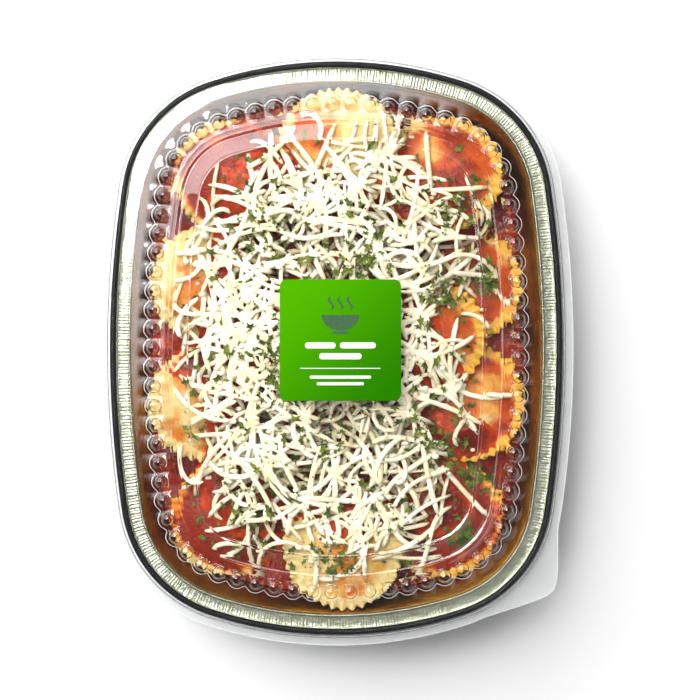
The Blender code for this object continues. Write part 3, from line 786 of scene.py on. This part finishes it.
class HeightMap:
    """Height of the food's top over a grid of cells, on which the toppings are laid one after another."""

    def __init__(self, objects):
        self.columns = int(2 * MAP_HALF_WIDTH / CELL)
        self.rows = int(2 * MAP_HALF_LENGTH / CELL)
        self.left = -MAP_HALF_WIDTH
        self.near = -MAP_HALF_LENGTH
        self.top = np.full((self.rows, self.columns), SAUCE_LEVEL)
        self.x = self.left + (np.arange(self.columns) + 0.5) * CELL
        self.y = self.near + (np.arange(self.rows) + 0.5) * CELL
        down = Vector((0, 0, -1))
        for tree, low, high in map(tree_of, objects):
            for j in range(*self.span(low.y, high.y, self.near, self.rows)):
                for i in range(*self.span(low.x, high.x, self.left, self.columns)):
                    hit = tree.ray_cast(Vector((self.x[i], self.y[j], 0.1)), down)[0]
                    if hit is not None and hit.z > self.top[j, i]:
                        self.top[j, i] = hit.z
        self.food = self.smoothed(8)

    @staticmethod
    def span(low, high, start, count):
        return max(0, int((low - start) / CELL)), min(count, int((high - start) / CELL) + 1)

    def cells(self, x, y):
        """Rows and columns of the cells at those places."""
        i = np.clip(((x - self.left) / CELL).astype(int), 0, self.columns - 1)
        j = np.clip(((y - self.near) / CELL).astype(int), 0, self.rows - 1)
        return j, i

    def at(self, x, y):
        return self.top[self.cells(x, y)]

    def highest_allowed(self, x, y):
        """How high a topping may lie: the heap is domed, and only a few strips deep over the food."""
        share = np.hypot((x + 4 * MM) / (64 * MM), (y - 1 * MM) / (92 * MM))
        dome = (54.5 - 8.5 * share**2) * MM
        return np.minimum(np.maximum(dome, self.food[self.cells(x, y)] + 2.5 * MM), 55.5 * MM)

    def around(self, x, y, reach):
        """The highest of the points at and round each place."""
        found = self.at(x, y)
        for turn in range(6):
            dx = reach * math.cos(turn * math.pi / 3)
            dy = reach * math.sin(turn * math.pi / 3)
            found = np.maximum(found, self.at(x + dx, y + dy))
        return found

    def raise_to(self, x, y, z, reach):
        cells = int(math.ceil(reach / CELL))
        for a, b, c in zip(x, y, z):
            i = int((a - self.left) / CELL)
            j = int((b - self.near) / CELL)
            block = self.top[max(0, j - cells):j + cells + 1, max(0, i - cells):i + cells + 1]
            np.maximum(block, c, out=block)

    def smoothed(self, passes):
        top = self.top.copy()
        for _ in range(passes):
            top[1:-1] = (top[:-2] + 2 * top[1:-1] + top[2:]) / 4
            top[:, 1:-1] = (top[:, :-2] + 2 * top[:, 1:-1] + top[:, 2:]) / 4
        return top


def tree_of(obj):
    points = [v.co.copy() for v in obj.data.vertices]
    faces = [tuple(p.vertices) for p in obj.data.polygons]
    xyz = np.array(points)
    return BVHTree.FromPolygons(points, faces), Vector(xyz.min(0)), Vector(xyz.max(0))


# Where the spooned sauce lies: x, y and radius in mm, and how thick it is, below 0 where the pasta is bare
SPOONED = (
    (46, -73, 17, 1.5), (30, 60, 26, 0.6), (55, 60, 10, 0.8), (-52, -52, 20, 1.0), (-62, 55, 12, 0.5),
    (48, -45, 16, 1.2), (62, -38, 12, 1.0), (30, 14, 12, 0.8), (-70, -5, 12, 0.9), (0, -90, 10, -0.4),
    (24, -98, 20, -1.8), (-12, -100, 20, -1.6), (0, 100, 26, -1.8), (58, 92, 13, -1.4), (34, 98, 14, -1.4),
    (-74, 27, 14, -1.4), (-76, -30, 10, -1.4), (76, 24, 12, -1.5), (76, -10, 13, -1.6), (60, -2, 9, -1.4),
    (50, 20, 16, -1.0), (70, -54, 9, -1.5), (70, -78, 12, -1.6), (-70, -86, 12, -1.2), (64, 36, 8, -1.2),
    (-45, 70, 26, 1.3), (-46, -72, 26, 1.2), (46, -70, 17, 1.0), (60, 60, 14, 1.2), (64, -38, 13, 1.2),
    (-69, -6, 15, 1.7), (-20, -88, 12, 0.6),
)


def spooned_thickness(x, y):
    """How thick the spooned sauce lies at each place, in mm, below 0 where there is none."""
    heap = 1 - smooth_step(0.75, 1.1, np.hypot((x + 4 * MM) / (58 * MM), (y - 2 * MM) / (84 * MM)))
    thick = -0.55 + 1.6 * heap
    for px, py, radius, amount in SPOONED:
        near = 1 - smooth_step(0.35, 1.15, np.hypot(x - px * MM, y - py * MM) / (radius * MM))
        thick = thick + amount * near * (1 - 0.4 * heap)
    thick = thick - 1.5 * smooth_step(-42 * MM, -28 * MM, inside_wall(x, y))
    return thick + 1.3 * rough_field(x, y, 12 * MM, 5.5, 4)


def build_spooned_sauce(heights, material):
    """Sauce spooned over the ravioli: it shows wherever its sheet comes out above them."""
    x, y = np.meshgrid(heights.x[::2], heights.y[::2])
    under = heights.smoothed(6)[::2, ::2]
    thick = spooned_thickness(x, y)
    sag = smooth_step(34 * MM, 28 * MM, under)
    z = under + np.clip(thick, -2.5, 1.0) * MM + 0.2 * MM * rough_field(x, y, 3 * MM, 1.7) - 1.0 * MM * sag
    edge = inside_wall(x, y)
    keep = (edge < -20 * MM) & (thick > -1.6)
    number = -np.ones(x.shape, int)
    number[keep] = np.arange(keep.sum())
    quads = np.stack((number[:-1, :-1], number[:-1, 1:], number[1:, 1:], number[1:, :-1]), -1).reshape(-1, 4)
    faces = quads[(quads >= 0).all(1)]
    points = np.column_stack((x[keep], y[keep], z[keep]))
    sheet = mesh_piece("sauce_spooned", points, faces, material)
    give_values(sheet, "film", np.clip(thick[keep] / 1.6, 0, 1))
    thicken(sheet, 0.3 * MM)
    finish_piece(sheet, "tomato_sauce")
    return sheet


def inside_wall(x, y):
    """Offset of each place from the rim's outer edge, below 0 inside."""
    a, b = np.abs(x), np.abs(y)
    turn = np.arctan2(b - CORNER_CENTRE[1], a - CORNER_CENTRE[0])
    arcs = ((SIDE_CENTRE, SIDE_ARC_RADIUS), (END_CENTRE, END_ARC_RADIUS), (CORNER_CENTRE, CORNER_RADIUS))
    side, end, corner = (np.hypot(a - x0, b - y0) - radius for (x0, y0), radius in arcs)
    at_corner = (turn > FIRST_TURN) & (turn < SECOND_TURN)
    return np.where(at_corner, corner, np.maximum(side, end))


# Places in the heap where little cheese lies: x, y and radius in mm
BARE = (
    (50, 14, 13), (57, -6, 9), (46, -28, 6), (50, 44, 7), (60, 66, 12), (46, -66, 10), (-52, 22, 5),
    (46, 30, 7), (38, -72, 8), (-42, 78, 12), (52, -45, 7),
)


def heap_share(x, y):
    """0 in the heap's middle and 1 at its border, which is an oblong with well rounded corners."""
    half_width = (58 if x < -5 * MM else 68) * MM
    across = abs(x + 5 * MM) / half_width
    along = abs(y - 1 * MM) / (88 * MM)
    return (across**2.7 + along**2.7) ** (1 / 2.7)


def strand_place(draw):
    while True:
        x = draw.uniform(-70, 70) * MM
        y = draw.uniform(-98, 98) * MM
        share = heap_share(x, y)
        if share > 1.15:
            continue
        chance = 1 - 0.93 * float(smooth_step(0.78, 1.1, share))
        chance *= 1 - 0.3 * float(smooth_step(22 * MM, 48 * MM, x))
        for px, py, radius in BARE:
            if math.hypot(x - px * MM, y - py * MM) < radius * MM:
                chance *= 0.22
        if draw.random() < chance:
            return x, y


def strand_path(x, y, draw):
    """A shred's line seen from above: mostly gently curved, now and then hooked."""
    length = draw.choice((12, 16, 18, 20, 22, 24, 26, 28, 32, 38)) * draw.uniform(0.85, 1.1) * MM
    steps = 11
    turn = draw.uniform(0, 2 * math.pi)
    bend = draw.gauss(0, 0.9)
    hook = draw.choice((0, 0, 0, 1, -1)) * draw.uniform(0.6, 1.8)
    path = [(0.0, 0.0)]
    for k in range(1, steps):
        share = k / (steps - 1)
        turn += (bend + hook * 3 * share**3) / (steps - 1)
        before_x, before_y = path[-1]
        next_x = before_x + math.cos(turn) * length / (steps - 1)
        next_y = before_y + math.sin(turn) * length / (steps - 1)
        path.append((next_x, next_y))
    path = np.array(path)
    path -= path.mean(0)
    return path + (x, y)


def settle(heights, path, half):
    """Heights of a strip's centreline on what lies there, bridging hollows with a little sag."""
    support = heights.around(path[:, 0], path[:, 1], 0.8 * MM) + half
    z = support.copy()
    for _ in range(14):
        bridge = z.copy()
        bridge[1:-1] = (z[:-2] + z[2:]) / 2 - 0.05 * MM
        z = np.maximum(support, bridge)
    allowed = heights.highest_allowed(path[:, 0], path[:, 1])
    over = np.maximum(z - allowed, 0)
    return z - over + 0.12 * over / (1 + over / (4 * MM))


def strip_rings(path, z, width, thick, twist, sides=6):
    """Cross-sections of a strip with rounded corners that narrows towards its ends."""
    line = np.column_stack((path, z))
    along = np.gradient(line, axis=0)
    along /= np.linalg.norm(along, axis=1)[:, None]
    across = np.cross(along, (0, 0, 1))
    across /= np.linalg.norm(across, axis=1)[:, None]
    up = np.cross(across, along)
    rings = []
    count = len(line)
    for k in range(count):
        share = k / (count - 1)
        narrow = min(1, 0.45 + 5 * min(share, 1 - share))
        tilt = twist * (share - 0.5)
        ring = []
        for side in range(sides):
            turn = 2 * math.pi * (side + 0.5) / sides
            a = math.copysign(abs(math.cos(turn)) ** 0.7, math.cos(turn)) * width / 2 * narrow
            b = math.copysign(abs(math.sin(turn)) ** 0.7, math.sin(turn)) * thick / 2 * narrow
            ring.append(line[k] + across[k] * (a * math.cos(tilt) - b * math.sin(tilt))
                        + up[k] * (a * math.sin(tilt) + b * math.cos(tilt)))
        rings.append(ring)
    return rings


def join_rings(rings, points, faces):
    sides = len(rings[0])
    first = len(points)
    for ring in rings:
        points.extend(ring)
    faces.extend(grid_faces(len(rings), sides) + first)
    faces.append(tuple(first + k for k in range(sides))[::-1])
    last = first + (len(rings) - 1) * sides
    faces.append(tuple(last + k for k in range(sides)))


# The heap's layers from the bottom up: name, shreds tried and flakes of herb laid
LAYERS = (("lower", 350, 620), ("middle", 270, 680), ("upper", 160, 360))
CRUMBS = 90  # in each layer


def build_heap(heights, cheese_finish, herb_finish):
    """Cheese and herb laid in turns, so that some herb shows between the shreds and some on top."""
    draw = random.Random(21)
    for layer, count, herb_count in LAYERS:
        points = []
        faces = []
        for _ in range(count):
            x, y = strand_place(draw)
            path = strand_path(x, y, draw)
            if inside_wall(path[:, 0], path[:, 1]).max() > -18 * MM:
                continue
            width = draw.uniform(1.7, 2.5) * MM
            thick = draw.uniform(1.1, 1.6) * MM
            z = settle(heights, path, thick / 2)
            join_rings(strip_rings(path, z, width, thick, draw.gauss(0, 0.9)), points, faces)
            fine = np.linspace(0, len(path) - 1, 40)
            lanes = [np.interp(fine, np.arange(len(path)), row) for row in (path[:, 0], path[:, 1], z)]
            heights.raise_to(lanes[0], lanes[1], lanes[2] + thick * 0.45, width * 0.4)
        for _ in range(CRUMBS):
            x, y = strand_place(draw)
            size = draw.uniform(0.7, 1.5) * MM
            crumb = np.array([(x - size, y), (x - size / 3, y), (x + size / 2, y), (x + size, y)])
            z = heights.around(crumb[:, 0], crumb[:, 1], size / 2) + size * 0.3
            join_rings(strip_rings(crumb, z, 1.6 * size, 1.2 * size, 0.5), points, faces)
        cheese = mesh_piece(f"cheese_{layer}", points, faces, cheese_finish)
        finish_piece(cheese, "white_cheese", "cheese")
        build_herb(f"herb_{layer}", herb_count, heights, herb_finish)


# Where the herb lies more densely: x, y and radius in mm
HERB_SPOTS = (
    (-30, 52, 20), (-26, -8, 18), (46, 24, 12), (40, -40, 14), (10, 40, 14), (-10, -40, 20), (52, 62, 12),
    (0, -96, 14), (56, -82, 9), (-36, -72, 14), (66, 30, 6), (60, -55, 8), (20, -20, 14),
)


def herb_place(draw):
    if draw.random() < 0.66:
        px, py, radius = draw.choice(HERB_SPOTS)
        return (px + draw.gauss(0, radius * 0.5)) * MM, (py + draw.gauss(0, radius * 0.5)) * MM
    return draw.uniform(-66, 70) * MM, draw.uniform(-100, 98) * MM


def build_herb(name, count, heights, material):
    draw = random.Random(count)
    points = []
    faces = []
    made = 0
    while made < count:
        x, y = herb_place(draw)
        if inside_wall(np.array(x), np.array(y)) > -26 * MM:
            continue
        made += 1
        size = draw.choice((0.35, 0.45, 0.5, 0.6, 0.7, 0.8, 0.9, 1.1, 1.3, 1.7)) * MM
        long = draw.uniform(1.1, 2.3)
        turn = draw.uniform(0, 2 * math.pi)
        lean = draw.uniform(-0.8, 0.8)
        curl = draw.uniform(-0.5, 0.5)
        base = float(heights.around(np.array([x]), np.array([y]), size * 0.6)[0]) + 0.25 * MM
        sides = 10
        rim = []
        for side in range(sides):
            angle = 2 * math.pi * side / sides
            reach = size * (draw.uniform(0.8, 1.3) if side % 2 else draw.uniform(0.3, 0.7))
            a = reach * math.cos(angle) * long
            b = reach * math.sin(angle)
            rim.append((a, b, lean * a * 0.4 + curl * b * b / size + abs(lean) * size * 0.4))
        first = len(points)
        for lift in (0.22 * MM, 0.0):
            for a, b, c in [(0, 0, abs(curl) * 0.2 * size), *rim]:
                px = x + a * math.cos(turn) - b * math.sin(turn)
                py = y + a * math.sin(turn) + b * math.cos(turn)
                points.append((px, py, base + c + lift))
        for side in range(sides):
            here = first + 1 + side
            following = first + 1 + (side + 1) % sides
            faces.append((first, here, following))
            faces.append((first + sides + 1, following + sides + 1, here + sides + 1))
            faces.append((here + sides + 1, following + sides + 1, following, here))
    herb = mesh_piece(name, points, faces, material, smooth=False)
    finish_piece(herb, "herb")


# Light, floor and camera


def area_lamp(name, compass, off_zenith, distance, width, depth, radiance):
    """A soft rectangular lamp that looks at the tray, its sides given as angles seen from the tray."""
    lamp = bpy.data.lights.new(name, "AREA")
    lamp.shape = "RECTANGLE"
    lamp.size = 2 * distance * math.tan(math.radians(width / 2))
    lamp.size_y = 2 * distance * math.tan(math.radians(depth / 2))
    lamp.energy = radiance * math.pi * lamp.size * lamp.size_y
    obj = bpy.data.objects.new(name, lamp)
    obj.visible_camera = False
    aim(obj, compass, off_zenith, distance)
    bpy.context.scene.collection.objects.link(obj)


def soft_panel(name, compass, off_zenith, distance, width, depth, radiance, fade):
    """A lamp panel that looks at the tray and dims towards its border, its sides given as angles."""
    half_x = distance * math.tan(math.radians(width / 2))
    half_y = distance * math.tan(math.radians(depth / 2))
    corners = [(-half_x, -half_y, 0), (half_x, -half_y, 0), (half_x, half_y, 0), (-half_x, half_y, 0)]
    material = bpy.data.materials.new(name)
    material.use_nodes = True
    tree = material.node_tree
    tree.nodes.clear()
    place = node(tree, "ShaderNodeTexCoord").outputs["Object"]
    parts = node(tree, "ShaderNodeSeparateXYZ", {0: place}).outputs
    share = radiance
    for axis, half in (("X", half_x), ("Y", half_y)):
        away = node(tree, "ShaderNodeMath", {0: parts[axis]}, operation="ABSOLUTE").outputs[0]
        dim = between(tree, away, half * (1 - fade), half)
        lit = node(tree, "ShaderNodeMath", {0: 1.0, 1: dim}, operation="SUBTRACT")
        share = node(tree, "ShaderNodeMath", {0: share, 1: lit.outputs[0]}, operation="MULTIPLY").outputs[0]
    glow = node(tree, "ShaderNodeEmission", {"Strength": share})
    node(tree, "ShaderNodeOutputMaterial", {"Surface": glow.outputs[0]})
    panel = mesh_piece(name, corners, [(0, 1, 2, 3)], material)
    aim(panel, compass, off_zenith, distance)
    panel.visible_camera = False
    panel.visible_shadow = False


def aim(obj, compass, off_zenith, distance):
    compass = math.radians(compass)
    off_zenith = math.radians(off_zenith)
    flat = math.sin(off_zenith)
    place = Vector((flat * math.cos(compass), flat * math.sin(compass), math.cos(off_zenith))) * distance
    obj.location = place
    obj.rotation_euler = (-place).to_track_quat("-Z", "Y").to_euler()


def build_studio():
    scene = bpy.context.scene
    world = bpy.data.worlds.new("studio")
    scene.world = world
    world.use_nodes = True
    sky = world.node_tree
    backdrop = sky.nodes["Background"]
    backdrop.inputs["Color"].default_value = (1, 1, 1, 1)
    direction = node(sky, "ShaderNodeTexCoord").outputs["Generated"]
    rise = node(sky, "ShaderNodeSeparateXYZ", {0: direction}).outputs["Z"]
    glow = {"Value": rise, "From Min": 0.22, "From Max": 0.08, "To Min": 0.12, "To Max": 1.0}
    strength = node(sky, "ShaderNodeMapRange", glow).outputs["Result"]
    sky.links.new(strength, backdrop.inputs["Strength"])
    area_lamp("key", 137, 18, 1.9, 16, 16, 15.4)
    soft_panel("near_softbox", 127, 27, 2.0, 66, 34, 4.5, 0.55)
    area_lamp("far_softbox", 130, 62, 2.2, 74, 36, 3.4)
    area_lamp("fill", -40, 46, 2.4, 36, 24, 1.2)
    scene.view_settings.view_transform = "Standard"
    camera = bpy.data.cameras.new("camera")
    camera.angle = CAMERA_ANGLE
    camera.clip_end = 10
    eye = bpy.data.objects.new("camera", camera)
    eye.location = CAMERA_PLACE
    scene.collection.objects.link(eye)
    scene.camera = eye
    size = FLOOR_HALF_SIZE
    corners = [(-size, -size, 0), (size, -size, 0), (size, size, 0), (-size, size, 0)]
    material, tree, surface = new_material("white_floor", Roughness=0.9, Specular_IOR_Level=0.1)
    tone = mixed(tree, patch_mask(tree, 3), colour(247, 247, 247), colour(250, 250, 250))
    tree.links.new(tone, surface.inputs["Base Color"])
    floor = mesh_piece("floor", corners, [(0, 1, 2, 3)], material)


def main():
    sauce_finish = tomato_sauce()
    build_tray()
    build_lid()
    build_label()
    ravioli = build_ravioli(pasta())
    sauce = build_sauce(sauce_finish)
    heights = HeightMap([*ravioli, sauce])
    spooned = build_spooned_sauce(heights, sauce_finish)
    heights = HeightMap([*ravioli, sauce, spooned])
    build_heap(heights, white_cheese(), chopped_herb())
    build_studio()


main()
